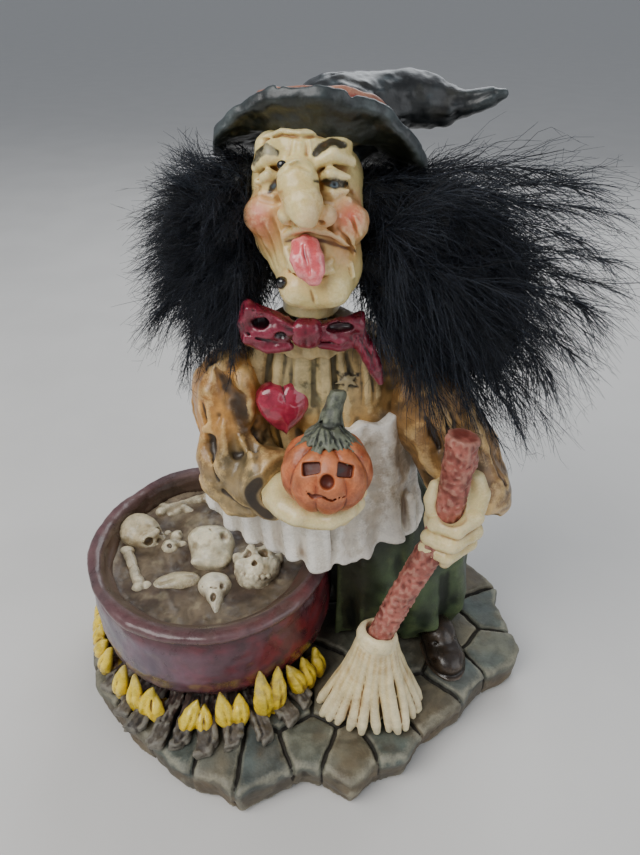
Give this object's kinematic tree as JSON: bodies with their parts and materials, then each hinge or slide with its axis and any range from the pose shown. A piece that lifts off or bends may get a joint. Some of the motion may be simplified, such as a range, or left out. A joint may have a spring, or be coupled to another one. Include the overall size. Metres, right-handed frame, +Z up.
{
  "type": "nodding witch figurine",
  "caption": "Small resin witch with a sprung head and plume hair, standing with a broom and a little pumpkin beside a cauldron of bones on a paved base.",
  "frame": {"origin": "centre of the bounding box at the underside of the felt pad", "axes": "+Z up, the figure faces -Y, its left hand and the broom are towards +X"},
  "size_m": [0.1107, 0.0764, 0.1308],
  "materials": {
    "felt": "matte",
    "flagstone_grey": "matte",
    "cauldron_maroon": "satin",
    "stew_brown": "satin",
    "bone_cream": "satin",
    "log_brown": "matte",
    "flame_yellow": "satin",
    "broom_bark": "satin",
    "broom_straw": "satin",
    "dress_green": "matte",
    "boot_brown": "satin",
    "bodice_ochre": "satin",
    "sleeve_ochre": "satin",
    "apron_white": "satin",
    "heart_red": "gloss",
    "bow_maroon": "satin",
    "pumpkin_orange": "satin",
    "stalk_green": "satin",
    "skin_ivory": "satin",
    "tongue_pink": "gloss",
    "wart_black": "gloss",
    "hat_black": "gloss",
    "band_red": "satin",
    "feather_black": "matte",
    "spring_steel": "satin",
    "plug_grey": "matte"
  },
  "bodies": {
    "figure": {"flagstone_base": "flagstone_grey", "felt_pad": "felt", "cauldron_pot": "cauldron_maroon", "cauldron_stew": "stew_brown", "stew_skull_left": "bone_cream", "stew_skull_centre": "bone_cream", "stew_skull_right": "bone_cream", "stew_beaked_skull": "bone_cream", "stew_shoulder_blade": "bone_cream", "stew_thigh_bone": "bone_cream", "stew_arm_bone": "bone_cream", "stew_knuckle_bone": "bone_cream", "firewood_logs": "log_brown", "flame_tongues": "flame_yellow", "broom_handle": "broom_bark", "broom_binding": "broom_straw", "broom_bristles": "broom_straw", "green_skirt": "dress_green", "boots": "boot_brown", "bodice": "bodice_ochre", "heart_patch": "heart_red", "pumpkin": "pumpkin_orange", "pumpkin_stalk": "stalk_green", "sleeve_right": "sleeve_ochre", "hand_right": "skin_ivory", "sleeve_left": "sleeve_ochre", "hand_left": "skin_ivory", "apron": "apron_white", "collar": "bodice_ochre", "bow_knot": "bow_maroon", "bow_loops": "bow_maroon", "spring_seat": "plug_grey"},
    "neck_spring": {"neck_spring": "spring_steel"},
    "spring_cap": {"spring_cap": "plug_grey"},
    "head": {"head_casting": "skin_ivory", "tongue": "tongue_pink", "warts": "wart_black", "hat_brim": "hat_black", "hat_crown": "hat_black", "hat_band": "band_red", "hair_right": "feather_black", "hair_left": "feather_black", "hair_back": "feather_black"}
  },
  "joints": [
    {"name": "head_sway", "type": "hinge", "parent": "figure", "child": "neck_spring", "pos_m": [-0.0015, 0.004, 0.093], "axis": [0, 1, 0], "range_deg": [-6, 6], "stiffness_Nm_per_rad": 0.03},
    {"name": "head_nod", "type": "hinge", "parent": "neck_spring", "child": "spring_cap", "pos_m": [-0.0015, 0.004, 0.093], "axis": [1, 0, 0], "range_deg": [-8, 8], "stiffness_Nm_per_rad": 0.03, "deforming": ["neck_spring"]},
    {"name": "head_turn", "type": "hinge", "parent": "spring_cap", "child": "head", "pos_m": [-0.0015, 0.004, 0.093], "axis": [0, 0, 1], "range_deg": [-10, 10]}
  ]
}
